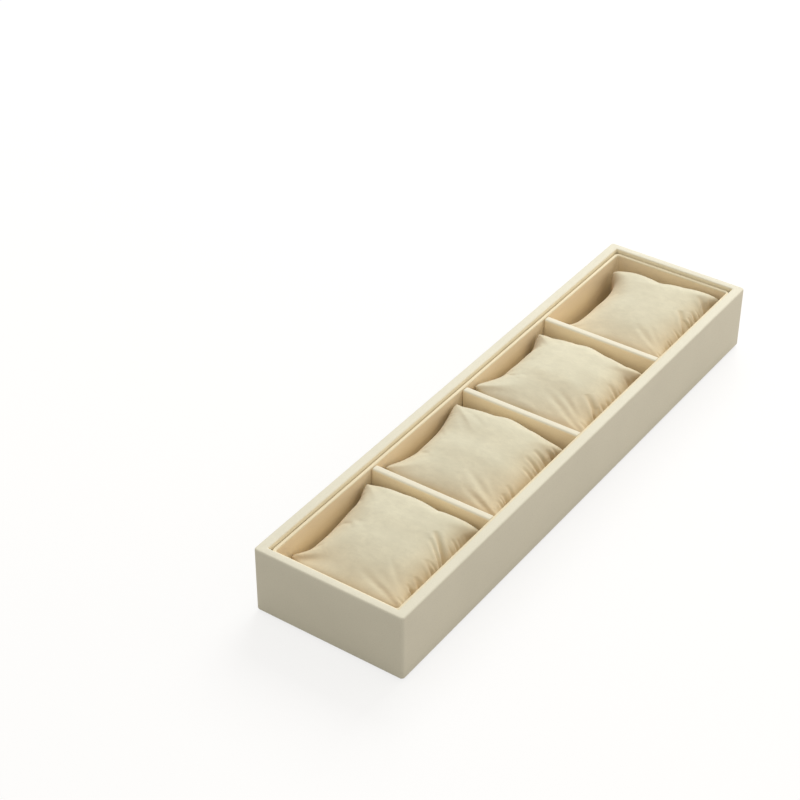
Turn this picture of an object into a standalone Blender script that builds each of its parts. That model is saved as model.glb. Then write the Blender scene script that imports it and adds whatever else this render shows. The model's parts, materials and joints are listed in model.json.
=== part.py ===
"""Jewelry display tray: a low box wrapped in leatherette, lined inside, with dividers and sewn pillows.

Frame: origin at the centre of the underside, +X along the tray, +Y to its back, +Z up, in metres.
"""

import math

import bmesh
import bpy
from mathutils import Vector

MM = 0.001

# Whole tray, over the wrap
LENGTH = 392 * MM
WIDTH = 100 * MM
HEIGHT = 45 * MM

# Finished walls, board and both layers of wrap together
LONG_WALL = 6.5 * MM
END_WALL = 5.5 * MM

# Leatherette wrap and where it is turned in
WRAP_SKIN = 0.8 * MM
WRAP_TUCK = 15 * MM
WRAP_TURN_IN = 12 * MM
CORNER_RADIUS = 1.6 * MM
RIM_RADIUS = 1.1 * MM
FOOT_RADIUS = 1.0 * MM

# Base
BASE_COVER_THICK = 0.8 * MM
BASE_COVER_INSET = 3 * MM
BASE_COVER_RADIUS = 2 * MM
BASE_BOARD_THICK = 3 * MM
FLOOR_PAD_THICK = 1.5 * MM

# Liner, a strip folded round the inside of the walls and standing a little below the rim
LINER_DROP = 2.5 * MM
LINER_THICK = 2.3 * MM
LINER_SKIN = 0.5 * MM
LINER_CORNER_RADIUS = 1.4 * MM
LINER_EDGE_RADIUS = 0.9 * MM

# Dividers
COMPARTMENTS = 4
DIVIDER_THICK = 5.3 * MM
DIVIDER_DROP = 3.2 * MM
DIVIDER_SKIN = 0.5 * MM
DIVIDER_TOP_RADIUS = 2.1 * MM
DIVIDER_END_RADIUS = 0.7 * MM

# Pillows. Each one's free form is a little larger than its room, which presses it flat there
PILLOW_DROP = 0.5 * MM
PILLOW_CROWN = 19 * MM
PILLOW_FLOOR_PRESS = 5 * MM
PILLOW_SIDE_PRESS = 1.5 * MM
PILLOW_END_TAPER = 8 * MM
PILLOW_END_WAIST = 5 * MM
PILLOW_EAR_RISE = 9 * MM
PILLOW_EAR_POWER = 3
PILLOW_SIDE_FULLNESS = 5
PILLOW_END_FULLNESS = 2.4
PILLOW_SEAM_THICK = 1.6 * MM
PILLOW_GATHERS = 7
PILLOW_GATHER_DEPTH = 3.2 * MM
PILLOW_GATHER_REACH = 0.45
PILLOW_ROWS = 8

# Room between pieces that touch, and the small roundings of the hidden boards
GAP = 0.3 * MM
BOARD_EDGE = 0.6 * MM

# How finely a folded sheet goes round an upright corner and over an edge, and its tightest corner
CORNER_STEPS = 4
FOLD_STEPS = 3
SHARPEST_CORNER = 0.3 * MM

# Heights that more than one piece uses
WRAP_LOW = BASE_COVER_THICK + GAP
BOARD_LOW = WRAP_LOW + WRAP_SKIN + GAP
FLOOR_LOW = BOARD_LOW + BASE_BOARD_THICK + GAP
INSIDE_LOW = FLOOR_LOW + FLOOR_PAD_THICK + GAP
WALL_BOARD_TOP = HEIGHT - WRAP_SKIN - GAP
LINER_TOP = HEIGHT - LINER_DROP
DIVIDER_TOP = HEIGHT - DIVIDER_DROP

# Half sizes of the rooms inside the walls
WRAP_LAYER = WRAP_SKIN + GAP
BOARD_ROOM = Vector((LENGTH / 2 - END_WALL + WRAP_LAYER, WIDTH / 2 - LONG_WALL + WRAP_LAYER))
LINER_OUTSIDE = Vector((LENGTH / 2 - END_WALL - GAP, WIDTH / 2 - LONG_WALL - GAP))
LINER_INSIDE = LINER_OUTSIDE - Vector((LINER_THICK, LINER_THICK))
COMPARTMENT = (2 * LINER_INSIDE.x - (COMPARTMENTS - 1) * DIVIDER_THICK) / COMPARTMENTS
PITCH = COMPARTMENT + DIVIDER_THICK


def clear_scene():
    for obj in list(bpy.data.objects):
        bpy.data.objects.remove(obj, do_unlink=True)


def make_material(name, colour, roughness):
    material = bpy.data.materials.new(name)
    material.use_nodes = True
    shader = material.node_tree.nodes["Principled BSDF"]
    shader.inputs["Base Color"].default_value = (*colour, 1.0)
    shader.inputs["Roughness"].default_value = roughness
    shader.inputs["Metallic"].default_value = 0.0
    material.diffuse_color = (*colour, 1.0)
    return material


def add_piece(name, mesh_data, location, material):
    """Turns a bmesh into one named object of the tray, its edges sharp only where they turn hard."""
    mesh = bpy.data.meshes.new(name)
    mesh_data.to_mesh(mesh)
    mesh_data.free()
    mesh.shade_smooth()
    mesh.set_sharp_from_angle(angle=math.radians(35))
    mesh.materials.append(material)
    piece = bpy.data.objects.new(name, mesh)
    piece.location = location
    piece.parent = tray
    parts.objects.link(piece)
    return piece


def box_mesh(size):
    mesh_data = bmesh.new()
    bmesh.ops.create_cube(mesh_data, size=1.0)
    bmesh.ops.scale(mesh_data, verts=mesh_data.verts, vec=size)
    return mesh_data


def is_upright(edge):
    first, second = edge.verts
    return abs(first.co.x - second.co.x) + abs(first.co.y - second.co.y) < GAP / 10


def round_edges(mesh_data, edges, radius, segments):
    bmesh.ops.bevel(
        mesh_data, geom=edges, offset=radius, segments=segments, profile=0.5, affect="EDGES", clamp_overlap=True
    )


def add_board(name, low, high, material, radius=0.0, segments=2, only_upright=False):
    """A flat board between two corners, with its edges, or only its upright ones, rounded."""
    low, high = Vector(low), Vector(high)
    mesh_data = box_mesh(high - low)
    if radius > 0:
        edges = [e for e in mesh_data.edges if is_upright(e) or not only_upright]
        round_edges(mesh_data, edges, radius, segments)
    return add_piece(name, mesh_data, (low + high) / 2, material)


def solidify(piece, thickness):
    """Gives an open skin its thickness, on the side away from its faces."""
    shell = piece.modifiers.new("thickness", "SOLIDIFY")
    shell.thickness = thickness
    shell.offset = -1.0
    shell.use_even_offset = True
    shell.use_quality_normals = True
    return piece


def rounded_rectangle(half, radius):
    """Points round a rectangle with round corners, each corner an arc of its own."""
    points = []
    for side_x, side_y, start in ((1, 1, 0), (-1, 1, 90), (-1, -1, 180), (1, -1, 270)):
        centre = Vector((side_x * (half.x - radius), side_y * (half.y - radius)))
        for step in range(CORNER_STEPS + 1):
            angle = math.radians(start + 90 * step / CORNER_STEPS)
            points.append(centre + radius * Vector((math.cos(angle), math.sin(angle))))
    return points


def fold_profile(foot, top, inner_foot, edge_radius, turn_in):
    """The line that a sheet takes over a wall, from below the outside to the foot of the inside.

    Each point is its distance in from the face that it lies on, the share of the wall's
    thickness that the sheet has crossed there, and its height.
    """
    quarter = [math.radians(90 * step / FOLD_STEPS) for step in range(FOLD_STEPS + 1)]
    profile = []
    if turn_in > 0:
        profile.append((turn_in, 0, foot))
        profile += [(FOOT_RADIUS * (1 - math.sin(a)), 0, foot + FOOT_RADIUS * (1 - math.cos(a))) for a in quarter]
    else:
        profile.append((0, 0, foot))
    profile += [(edge_radius * (1 - math.cos(a)), 0, top - edge_radius * (1 - math.sin(a))) for a in quarter]
    over = reversed(quarter)
    profile += [(edge_radius * (math.cos(a) - 1), 1, top - edge_radius * (1 - math.sin(a))) for a in over]
    profile.append((0, 1, inner_foot))
    return profile


def add_wrapped_frame(name, half, wall, profile, corner_radii, skin, material):
    """A sheet folded over the four walls of a frame, as rings that follow the profile.

    half and wall are the frame's half size and its walls' thickness, each along X and Y, and
    corner_radii are those of its outer and inner upright corners.
    """
    outer_radius, inner_radius = corner_radii
    mesh_data = bmesh.new()
    below = None
    for inset, across, height in profile:
        radius = outer_radius + across * (inner_radius - outer_radius) - inset
        ring_half = half - across * wall - Vector((inset, inset))
        points = rounded_rectangle(ring_half, max(radius, SHARPEST_CORNER))
        ring = [mesh_data.verts.new((*point, height)) for point in points]
        if below:
            for here in range(len(ring)):
                there = (here + 1) % len(ring)
                mesh_data.faces.new((below[here], below[there], ring[there], ring[here]))
        below = ring
    return solidify(add_piece(name, mesh_data, (0, 0, 0), material), skin)


def add_carcass():
    """The boards that give the tray its shape: two long walls, two ends between them and the base."""
    long_thick = LONG_WALL - 2 * WRAP_LAYER
    end_thick = END_WALL - 2 * WRAP_LAYER
    long_end = LENGTH / 2 - WRAP_LAYER
    for name, side in (("front_wall_board", -1), ("back_wall_board", 1)):
        near, far = sorted((side * BOARD_ROOM.y, side * (BOARD_ROOM.y + long_thick)))
        add_board(name, (-long_end, near, BOARD_LOW), (long_end, far, WALL_BOARD_TOP), board, BOARD_EDGE)
    reach = BOARD_ROOM.y - GAP
    for name, side in (("left_end_board", -1), ("right_end_board", 1)):
        near, far = sorted((side * BOARD_ROOM.x, side * (BOARD_ROOM.x + end_thick)))
        add_board(name, (near, -reach, BOARD_LOW), (far, reach, WALL_BOARD_TOP), board, BOARD_EDGE)
    room = BOARD_ROOM - Vector((GAP, GAP))
    add_board("base_board", (-room.x, -room.y, BOARD_LOW), (room.x, room.y, BOARD_LOW + BASE_BOARD_THICK), board)


def add_coverings():
    """The leatherette round the carcass, the sheet under it and the pad on its floor."""
    add_wrapped_frame(
        "outer_wrap",
        half=Vector((LENGTH, WIDTH)) / 2,
        wall=Vector((END_WALL, LONG_WALL)),
        profile=fold_profile(WRAP_LOW, HEIGHT, HEIGHT - WRAP_TUCK, RIM_RADIUS, WRAP_TURN_IN),
        corner_radii=(CORNER_RADIUS, SHARPEST_CORNER),
        skin=WRAP_SKIN,
        material=leatherette,
    )
    cover = Vector((LENGTH / 2 - BASE_COVER_INSET, WIDTH / 2 - BASE_COVER_INSET, 0))
    add_board(
        "base_cover", -cover, cover + Vector((0, 0, BASE_COVER_THICK)), felt, BASE_COVER_RADIUS, 4, only_upright=True
    )
    room = BOARD_ROOM - Vector((GAP, GAP))
    add_board("floor_pad", (-room.x, -room.y, FLOOR_LOW), (room.x, room.y, FLOOR_LOW + FLOOR_PAD_THICK), lining)


def add_liner():
    """Four cards and the one strip of leatherette that is folded round them and their corners."""
    add_wrapped_frame(
        "liner_cover",
        half=LINER_OUTSIDE,
        wall=LINER_OUTSIDE - LINER_INSIDE,
        profile=fold_profile(INSIDE_LOW, LINER_TOP, INSIDE_LOW, LINER_EDGE_RADIUS, 0),
        corner_radii=(LINER_CORNER_RADIUS + LINER_THICK, LINER_CORNER_RADIUS),
        skin=LINER_SKIN,
        material=leatherette,
    )
    layer = LINER_SKIN + GAP
    card_top = LINER_TOP - layer
    outside = LINER_OUTSIDE - Vector((layer, layer))
    inside = LINER_INSIDE + Vector((layer, layer))
    reach = LINER_INSIDE - Vector((1, 1)) * (LINER_CORNER_RADIUS + GAP)
    for name, side in (("liner_card_front", -1), ("liner_card_back", 1)):
        near, far = sorted((side * inside.y, side * outside.y))
        add_board(name, (-reach.x, near, INSIDE_LOW), (reach.x, far, card_top), card)
    for name, side in (("liner_card_left", -1), ("liner_card_right", 1)):
        near, far = sorted((side * inside.x, side * outside.x))
        add_board(name, (near, -reach.y, INSIDE_LOW), (far, reach.y, card_top), card)


def add_divider(number, x):
    """A board between the liner's long sides, under a cap of leatherette with a round top."""
    reach = LINER_INSIDE.y - GAP
    height = DIVIDER_TOP - INSIDE_LOW
    mesh_data = box_mesh(Vector((DIVIDER_THICK, 2 * reach, height)))
    mesh_data.normal_update()
    foot = [f for f in mesh_data.faces if f.normal.z < -0.5]
    bmesh.ops.delete(mesh_data, geom=foot, context="FACES_ONLY")
    round_edges(mesh_data, [e for e in mesh_data.edges if is_upright(e)], DIVIDER_END_RADIUS, 2)
    ridge = [
        e
        for e in mesh_data.edges
        if all(v.co.z > height / 2 - GAP for v in e.verts)
        and abs(e.verts[0].co.x - e.verts[1].co.x) < GAP
        and e.calc_length() > reach
    ]
    round_edges(mesh_data, ridge, DIVIDER_TOP_RADIUS, 5)
    middle = (x, 0, INSIDE_LOW + height / 2)
    cover = add_piece(f"divider_cover_{number}", mesh_data, middle, leatherette)
    solidify(cover, DIVIDER_SKIN)

    layer = DIVIDER_SKIN + GAP
    half = DIVIDER_THICK / 2 - layer
    core = add_board(
        f"divider_board_{number}",
        (x - half, -reach + layer, INSIDE_LOW),
        (x + half, reach - layer, DIVIDER_TOP - layer),
        board,
    )
    rounding = core.modifiers.new("round top", "BEVEL")
    rounding.width = DIVIDER_TOP_RADIUS - layer
    rounding.segments = 3


def pillow_point(column, row, side):
    """Where a point of the cube (column, row, side), each -1 to 1, goes on a stuffed pouch.

    Its ends at row = -1 and row = 1 are gathered into seams, narrower than the middle, which sag
    in between raised corners. Columns and rows lie closer together towards the seams.
    """
    u, v = math.sin(column * math.pi / 2), math.sin(row * math.pi / 2)
    ear = abs(u * v) ** PILLOW_EAR_POWER
    half_length = COMPARTMENT / 2 + PILLOW_SIDE_PRESS - PILLOW_END_TAPER * abs(v) ** PILLOW_EAR_POWER
    half_width = LINER_INSIDE.y - GAP - PILLOW_END_WAIST * (1 - ear)
    fullness = math.sqrt((1 - abs(u) ** PILLOW_SIDE_FULLNESS) * (1 - abs(v) ** PILLOW_END_FULLNESS))
    seam = HEIGHT - PILLOW_DROP - INSIDE_LOW - PILLOW_CROWN - PILLOW_SEAM_THICK
    depth = PILLOW_CROWN if side > 0 else seam + PILLOW_FLOOR_PRESS
    past_reach = (abs(v) - 1 + PILLOW_GATHER_REACH) / PILLOW_GATHER_REACH
    wave = math.cos(math.pi * PILLOW_GATHERS * (column + 1)) * (1 - u**4)
    gather = PILLOW_GATHER_DEPTH * wave * math.sin(math.pi * max(0, past_reach))
    z = seam + PILLOW_EAR_RISE * ear**2 + side * (depth * fullness + gather)
    return Vector((u * half_length, v * half_width, z))


def add_pillow(number, x):
    """A sewn pillow, pressed by the floor and by the walls of its compartment."""
    mesh_data = bmesh.new()
    bmesh.ops.create_cube(mesh_data, size=2.0)
    for axis, count in ((0, 2 * PILLOW_GATHERS), (1, PILLOW_ROWS)):
        along = [e for e in mesh_data.edges if abs(e.verts[0].co[axis] - e.verts[1].co[axis]) > 1]
        bmesh.ops.subdivide_edges(mesh_data, edges=along, cuts=count - 1, use_grid_fill=True)
    room = Vector((COMPARTMENT / 2 - GAP, LINER_INSIDE.y - GAP))
    for vert in mesh_data.verts:
        side = vert.co.z
        point = pillow_point(*vert.co)
        point.x = max(-room.x, min(room.x, point.x))
        point.y = max(-room.y, min(room.y, point.y))
        point.z = max(0.0, point.z) + (side + 1) * PILLOW_SEAM_THICK / 2
        vert.co = point
    pillow = add_piece(f"pillow_{number}", mesh_data, (x, 0, INSIDE_LOW), suede)
    smooth = pillow.modifiers.new("soft form", "SUBSURF")
    smooth.levels = 1
    smooth.render_levels = 1


clear_scene()
parts = bpy.data.collections.new("jewelry_display_tray")
bpy.context.scene.collection.children.link(parts)
tray = bpy.data.objects.new("tray", None)
parts.objects.link(tray)

leatherette = make_material("cream leatherette", (0.80, 0.74, 0.60), 0.5)
lining = make_material("floor lining", (0.72, 0.62, 0.45), 0.9)
suede = make_material("beige suede", (0.72, 0.64, 0.47), 0.9)
felt = make_material("base felt", (0.70, 0.64, 0.52), 0.95)
board = make_material("fibreboard", (0.45, 0.33, 0.22), 0.8)
card = make_material("grey card", (0.40, 0.38, 0.35), 0.85)

add_carcass()
add_coverings()
add_liner()
for index in range(COMPARTMENTS - 1):
    add_divider(index + 1, (index + 1 - COMPARTMENTS / 2) * PITCH)
for index in range(COMPARTMENTS):
    add_pillow(index + 1, (index + 0.5 - COMPARTMENTS / 2) * PITCH)
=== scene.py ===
"""Jewelry display tray: the leatherette, the suede pillows and the light on them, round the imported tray.

Run as a script in Blender. It is laid out as an add-on: sizes and colours in property groups, one
operator for each piece or group of like pieces, and one panel that lists them.
"""

import json
import math

import bmesh
import bpy
import numpy as np
from mathutils import Matrix, Vector, noise


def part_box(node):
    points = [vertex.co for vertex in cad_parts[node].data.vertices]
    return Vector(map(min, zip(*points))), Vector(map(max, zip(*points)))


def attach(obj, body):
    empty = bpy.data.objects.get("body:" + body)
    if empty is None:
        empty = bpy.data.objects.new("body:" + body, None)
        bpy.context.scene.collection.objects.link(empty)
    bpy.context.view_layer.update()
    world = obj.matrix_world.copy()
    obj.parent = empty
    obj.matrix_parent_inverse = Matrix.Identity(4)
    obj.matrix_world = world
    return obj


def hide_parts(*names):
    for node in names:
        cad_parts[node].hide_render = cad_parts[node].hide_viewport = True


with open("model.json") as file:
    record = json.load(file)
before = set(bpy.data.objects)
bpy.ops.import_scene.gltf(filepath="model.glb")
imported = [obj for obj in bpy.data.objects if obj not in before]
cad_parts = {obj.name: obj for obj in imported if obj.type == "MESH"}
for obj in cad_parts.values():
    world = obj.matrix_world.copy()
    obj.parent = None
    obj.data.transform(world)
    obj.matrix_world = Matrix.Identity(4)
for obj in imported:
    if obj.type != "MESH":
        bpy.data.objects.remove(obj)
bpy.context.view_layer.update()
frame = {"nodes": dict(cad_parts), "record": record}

bl_info = {
    "name": "Jewelry display tray",
    "version": (1, 0, 0),
    "blender": (4, 5, 0),
    "location": "3D View > Sidebar > Display tray",
    "description": "Wraps, lines and fills a display tray, and sets up its studio",
    "category": "Object",
}

MM = 0.001
BODY = "root"

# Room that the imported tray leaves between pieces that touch
GAP = 0.3 * MM

WRAP_LOW, WRAP_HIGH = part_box("outer_wrap")
LINER_LOW, LINER_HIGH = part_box("liner_cover")
DIVIDERS = ("divider_cover_1", "divider_cover_2", "divider_cover_3")
PILLOWS = ("pillow_1", "pillow_2", "pillow_3", "pillow_4")
DIVIDER_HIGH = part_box(DIVIDERS[0])[1]
PILLOW_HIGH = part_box(PILLOWS[0])[1]

# Attributes of the cloth, from 0 to 1: how deep in a crease each point lies, and how far it leans
# to the left, away from the key lamp. The suede paints shade by both.
CREASE = "crease"
LEFT_SHADE = "against"

WHITE = (1.0, 1.0, 1.0, 1.0)

# The floor's colour in the light that it throws back, and how far it glows white to the camera
FLOOR_BOUNCE = (0.46, 0.44, 0.43, 1.0)
FLOOR_GLOW = 0.76

# Places of the two lamps, in metres: one at the right and behind, one low at the front
KEY_PLACE = (1.7, 0.4, 1.6)
FILL_PLACE = (0.9, -0.9, 0.3)

END_WALL = WRAP_HIGH.x - LINER_HIGH.x - GAP
LONG_WALL = WRAP_HIGH.y - LINER_HIGH.y - GAP
LINER_THICK = LINER_HIGH.y - DIVIDER_HIGH.y - GAP

# Each pillow's four ears from the middle of its room's floor, in millimetres:
# front left, front right, back left and back right
PILLOW_EARS = (
    ((-36, -39, 23), (42, -39, 26), (-34, 39.8, 23.5), (38, 39.8, 29)),
    ((-37, -39, 22), (38.5, -39, 25), (-39.5, 39.8, 29), (36, 39.8, 30)),
    ((-36, -39, 23), (38.5, -39, 25), (-38.5, 39.8, 31), (36.5, 39.8, 28.8)),
    ((-36, -39, 22), (44, -39, 28), (-40, 38, 22), (35, 39, 27.5)),
)

# Five even steps along a side between its ears, in millimetres: down, for sides that sag by 1, 3 and
# 4 mm, and in or out, for a straight side and for left sides that bulge by 7 and 10 mm
SAG_1 = (0.7, 1, 1, 1, 0.7)
SAG_3 = (2.1, 2.9, 3, 2.9, 2.1)
SAG_4 = (2.8, 3.9, 4, 3.9, 2.8)
STRAIGHT = (0, 0, 0, 0, 0)
BULGE_7 = (5, 7, 7, 7, 5)
BULGE_10 = (7, 10, 10, 10, 7)
FRONT_SIDE = ((4, 4, 4, 4, 4), SAG_4)

# How each pillow's front, back, left and right sides run between their ears: their steps in or out,
# and their steps down. Front and back run in, left and right run out.
PILLOW_SIDES = (
    (
        FRONT_SIDE,
        (STRAIGHT, (8.3, 10.8, 11.4, 10.0, 8.0)),
        (BULGE_10, SAG_1),
        ((1.2, 1.2, 2.0, 2.0, 2.0), SAG_3),
    ),
    (
        FRONT_SIDE,
        (STRAIGHT, (5.6, 10.2, 10.4, 9.6, 6.0)),
        (BULGE_7, SAG_3),
        ((1.6, 3.6, 4.7, 2.8, 1.4), SAG_4),
    ),
    (
        FRONT_SIDE,
        (STRAIGHT, (5.4, 10.4, 11.0, 10.4, 9.2)),
        (BULGE_10, SAG_3),
        ((0.4, 2.0, 3.8, 2.8, 1.2), SAG_4),
    ),
    (
        FRONT_SIDE,
        ((5.0, 6.4, 7.4, 8.2, 6.6), (6.3, 8.7, 9, 8.7, 6.3)),
        (BULGE_7, SAG_1),
        ((1.0, -0.4, -0.7, 1.2, 1.8), SAG_3),
    ),
)

# How square a pillow stays towards its sides: 2 is round. Each crown has its own figure at the left,
# and all have the same at the right, on the underside, and from front to back.
LEFT_SQUARENESS = (1.9, 1.9, 1.6, 2.4)
SIDE_SQUARENESS = 5
LONG_SQUARENESS = 2.4

# How steeply a pillow falls to its seams: 0.5 bulges out, 1 runs straight. Each crown has its own
# figure at the back.
BACK_FALL = (0.8, 0.8, 0.75, 0.55)
FALL = 0.5

# In millimetres: how high the lumps of the stuffing stand, how far past the floor the underside is
# stuffed, and how far it is stuffed out under the front and back seams
STUFFING_LUMPS = 0.5
STUFFED_DOWN = 5
STUFFED_OUT = 10

# Depth of crease at which the suede's painted crease shade is darkest, and lean of each pillow's cloth
# to the left at which its painted shade on left-leaning slopes is darkest
FULL_CREASE = 1.2 * MM
FULL_LEAN = (0.4, 0.32, 0.2, 0.4)

# Small lumps of the cloth over its stuffing
LUMPS_PER_METRE = 55
LUMP_HEIGHT = 0.35 * MM

# Creases that run in from a pillow's front seam, in millimetres: points from the seam to the tip,
# width and depth
PILLOW_CREASES = (
    (
        (((3, -41), (5, -39), (11, -32), (20, -21)), 1.1, 2.6),
        (((0, -41), (2.5, -38), (7, -32), (14, -22)), 0.9, 1.8),
        (((-5, -40), (-3, -36), (1, -28)), 1.0, 1.0),
        (((-17, -40), (-15.5, -36), (-12, -30)), 1.0, 1.1),
        (((-21, -40), (-20.5, -36), (-20, -32)), 0.8, 1.4),
    ),
    (
        (((29, -40), (28.5, -36), (27, -30)), 0.8, 0.9),
        (((21, -40), (21.5, -35), (22, -25)), 0.9, 1.2),
        (((13, -40), (13.5, -35), (14, -24)), 0.9, 1.0),
        (((7, -40), (6.5, -35), (6, -27)), 0.8, 0.8),
        (((-18, -40), (-15.5, -37), (-12, -28)), 0.9, 1.0),
        (((-23, -40), (-21, -36), (-19, -29)), 0.8, 1.0),
        (((-32, -40), (-31.5, -37), (-29, -32)), 0.7, 0.8),
    ),
    (
        (((-22, -41), (-20, -38), (-12, -30), (-7, -22)), 1.3, 2.2),
        (((-15, -41), (-13.5, -37), (-10, -31)), 0.8, 0.9),
        (((-7, -40), (-6.5, -36), (-5.5, -31)), 0.8, 0.8),
        (((0, -40), (0, -37), (-0.5, -32)), 0.7, 0.7),
        (((7, -40), (9, -35), (11.5, -27)), 0.9, 0.9),
    ),
    (
        (((-4, -41), (-1, -36), (7, -30), (12, -25)), 1.3, 2.1),
        (((2, -41), (4, -37), (8, -32)), 0.9, 1.4),
        (((9, -40), (10, -36), (12.5, -31)), 0.9, 1.3),
        (((14, -40), (15.5, -37), (18.5, -30)), 1.0, 1.1),
        (((26, -40), (27.5, -36), (33, -27)), 1.2, 1.0),
    ),
)


def colour_setting(name, description, default):
    """A colour that a user can change."""
    return bpy.props.FloatVectorProperty(
        name=name, description=description, default=default, size=3, min=0.0, max=1.0, subtype="COLOR"
    )


def number_setting(name, description, default, **more):
    """A number that a user can change, with its unit or its least value."""
    return bpy.props.FloatProperty(name=name, description=description, default=default, **more)


def length_setting(name, description, default):
    """A length that a user can change."""
    return number_setting(name, description, default, unit="LENGTH")


def count_setting(name, description, default, least):
    """A whole number that a user can change."""
    return bpy.props.IntProperty(name=name, description=description, default=default, min=least)


class TrayWrapSettings(bpy.types.PropertyGroup):
    """The leatherette that covers the walls, the liner and the dividers."""

    colour: colour_setting(
        "Wrap colour", "Colour of the leatherette on the walls and their rim", (0.785, 0.765, 0.645)
    )
    # The liner top edge's own colour, which the wrap also takes down the inside of its walls as painted
    # warm bounce light
    edge_and_bounce_colour: colour_setting(
        "Liner edge colour", "Colour of the leatherette on the liner's top edge", (0.85, 0.775, 0.585)
    )
    divider_top_colour: colour_setting(
        "Divider top colour", "Colour of the leatherette on the dividers' round tops", (0.83, 0.80, 0.67)
    )
    # Painted warm bounce light: the dividers' faces are lighter and warmer than their tops
    divider_bounce_colour: colour_setting(
        "Divider colour", "Colour of the leatherette on the dividers' faces", (1.0, 0.85, 0.60)
    )
    # Painted warm bounce light and shade: the liner below its top edge is darker and warmer
    liner_bounce_shade_colour: colour_setting(
        "Inside colour", "Colour of the leatherette on the liner, below its top edge", (0.855, 0.72, 0.51)
    )
    # Painted fill light: the liner is lighter low down, where the pillows shade it
    painted_fill_colour: colour_setting(
        "Deep colour", "Colour of the leatherette low down behind the pillows", (1.0, 0.86, 0.61)
    )
    thickness: length_setting("Wrap thickness", "Thickness of the wrap", 0.8 * MM)
    thin: length_setting(
        "Liner leatherette", "Thickness of the leatherette on the liner and the dividers", 0.5 * MM
    )
    corner_radius: length_setting("Corner radius", "Radius of the tray's upright corners", 2.2 * MM)
    rim_radius: length_setting("Rim radius", "Radius of the rim's two edges", 1.1 * MM)
    foot_radius: length_setting("Foot radius", "Radius of the wrap's fold under the base", 1.0 * MM)
    turn_in: length_setting("Turn-in", "Width of the wrap glued under the base", 12 * MM)
    tuck: length_setting("Tuck", "Depth of the wrap inside the walls, behind the liner", 15 * MM)
    liner_corner: length_setting(
        "Liner corner radius", "Radius of the liner's upright corners, inside", 1.4 * MM
    )
    liner_edge: length_setting("Liner edge radius", "Radius of the fold on the liner's top", 0.9 * MM)
    divider_top: length_setting("Divider top radius", "Radius of the dividers' round tops", 1.5 * MM)
    divider_end: length_setting(
        "Divider end radius", "Radius of the folds at the dividers' ends", 0.7 * MM
    )
    grain: length_setting("Grain", "Width of one pebble of the leatherette's grain", 0.55 * MM)


class TrayPillowSettings(bpy.types.PropertyGroup):
    """The sewn and stuffed pillows."""

    colour: colour_setting("Suede colour", "Colour of the pillows' suede cloth", (0.728, 0.70, 0.545))
    # Painted warm shade and bounce light: the suede is darker and warmer low down, towards the seams
    painted_bounce_colour: colour_setting(
        "Low suede colour", "Colour of the suede cloth low down, towards the seams", (0.775, 0.63, 0.41)
    )
    height: length_setting("Height", "Height of the pillows' middles before they swell", 33.7 * MM)
    pressure: number_setting("Stuffing pressure", "How hard the stuffing swells the cloth", 1.2, min=0.0)
    frames: count_setting("Settling frames", "Frames that the cloth is given to settle", 24, 1)
    most_swell: length_setting("Most swell", "Furthest that the cloth may move as it settles", 4 * MM)
    columns: count_setting("Columns", "Squares of cloth along a seam", 48, 8)
    rows: count_setting("Rows", "Squares of cloth from seam to seam", 42, 8)


class TrayStageSettings(bpy.types.PropertyGroup):
    """The studio round the tray."""

    sky: number_setting("Sky light", "Strength of the light from all round", 0.66, min=0.0)
    sky_colour: colour_setting("Sky colour", "Colour of the light from all round", (1.0, 0.95, 0.86))
    key: number_setting("Key light", "Power of the lamp at the right", 32.5, unit="POWER")
    fill: number_setting("Fill light", "Power of the lamp at the front", 4.8, unit="POWER")
    fill_colour: colour_setting("Fill colour", "Colour of the lamp at the front", (1.0, 0.88, 0.78))
    key_size: length_setting("Key size", "Length of both lamps' sides", 1.4)
    floor_size: length_setting("Floor size", "Length of the floor's sides", 6.0)


class Number:
    """A number in a node tree, so that sums and products of nodes read as plain arithmetic."""

    def __init__(self, tree, socket):
        self.tree = tree
        self.socket = socket

    def math(self, operation, *others, clamp=False):
        values = dict(enumerate((self, *others)))
        node = add_node(self.tree, "ShaderNodeMath", values, operation=operation, use_clamp=clamp)
        return Number(self.tree, node.outputs[0])

    def __add__(self, other):
        return self.math("ADD", other)

    def __sub__(self, other):
        return self.math("SUBTRACT", other)

    def __mul__(self, other):
        return self.math("MULTIPLY", other)

    def __truediv__(self, other):
        return self.math("DIVIDE", other)


def feed(tree, node, inputs):
    """Feeds a node's inputs, each with a value, a Number or another node's output."""
    for key, value in inputs.items():
        if isinstance(value, Number):
            value = value.socket
        if isinstance(value, bpy.types.NodeSocket):
            tree.links.new(value, node.inputs[key])
        else:
            node.inputs[key].default_value = value


def add_node(tree, kind, inputs=None, **settings):
    """Adds a node with its settings, and feeds its inputs."""
    node = tree.nodes.new(kind)
    for name, value in settings.items():
        setattr(node, name, value)
    feed(tree, node, inputs or {})
    return node


def split(tree, vector):
    """The X, Y and Z of a vector."""
    return [Number(tree, part) for part in add_node(tree, "ShaderNodeSeparateXYZ", {0: vector}).outputs]


def noise_over(tree, place, scale, detail, **more):
    """Soft noise over a place, mostly between 0 and 1."""
    inputs = {"Vector": place, "Scale": scale, "Detail": detail, **more}
    return Number(tree, add_node(tree, "ShaderNodeTexNoise", inputs).outputs["Fac"])


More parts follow.
